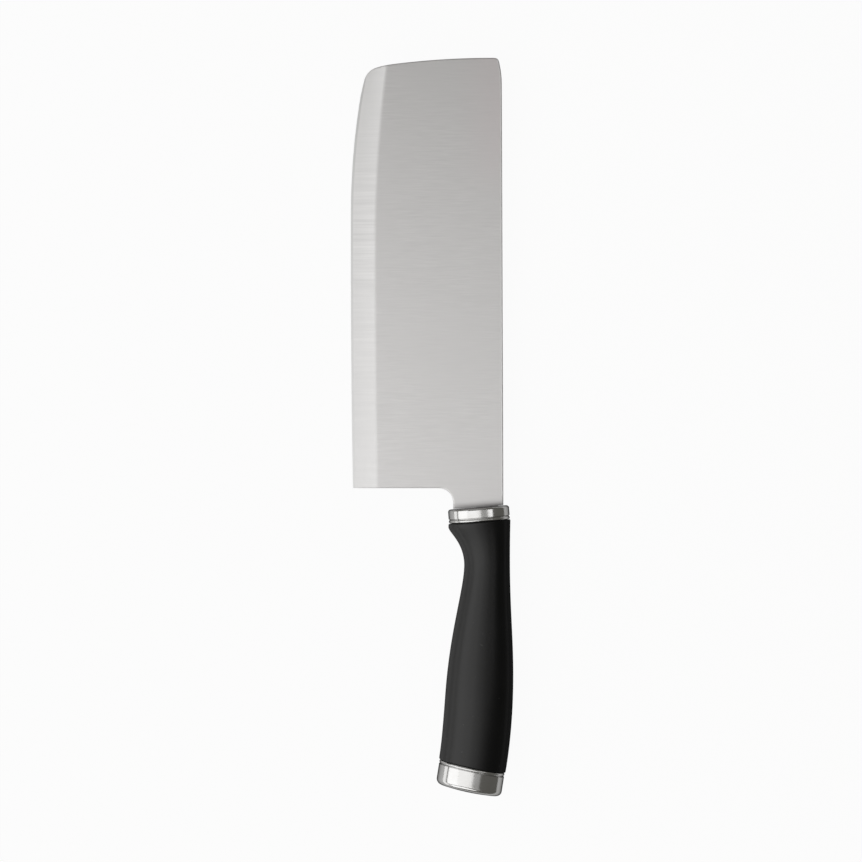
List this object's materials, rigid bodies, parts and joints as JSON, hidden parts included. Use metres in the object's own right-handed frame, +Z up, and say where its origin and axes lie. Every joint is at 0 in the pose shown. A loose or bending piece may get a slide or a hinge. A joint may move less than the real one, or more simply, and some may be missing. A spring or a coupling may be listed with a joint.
{
  "type": "cleaver",
  "caption": "Kitchen cleaver with a broad ground steel blade, soft black grip with a finger groove, and polished steel ferrule and end cap.",
  "frame": {"origin": "under the middle of the cleaver's box, on the surface that the handle lies on when the cleaver lies on its right side", "axes": "+Y from the handle to the tip, +X from the cutting edge to the spine, +Z up, out of the blade's left face"},
  "size_m": [0.065, 0.2954, 0.0209],
  "materials": {
    "blade_steel": "satin, brushed across the blade, with a brighter ground bevel",
    "polished_steel": "mirror polished drawn steel",
    "seal_resin": "cast resin, semi-matt",
    "core_plastic": "moulded, fine grain",
    "pin_steel": "turned, bright",
    "soft_grip": "soft-touch rubber, semi-matt, very fine grain"
  },
  "bodies": {
    "root": {"blade": "blade_steel", "bolster_ferrule": "polished_steel", "tang_seal": "seal_resin", "core_left": "core_plastic", "core_right": "core_plastic", "tang_pin_front": "pin_steel", "tang_pin_rear": "pin_steel", "grip_sleeve": "soft_grip", "end_cap": "polished_steel"}
  },
  "joints": []
}
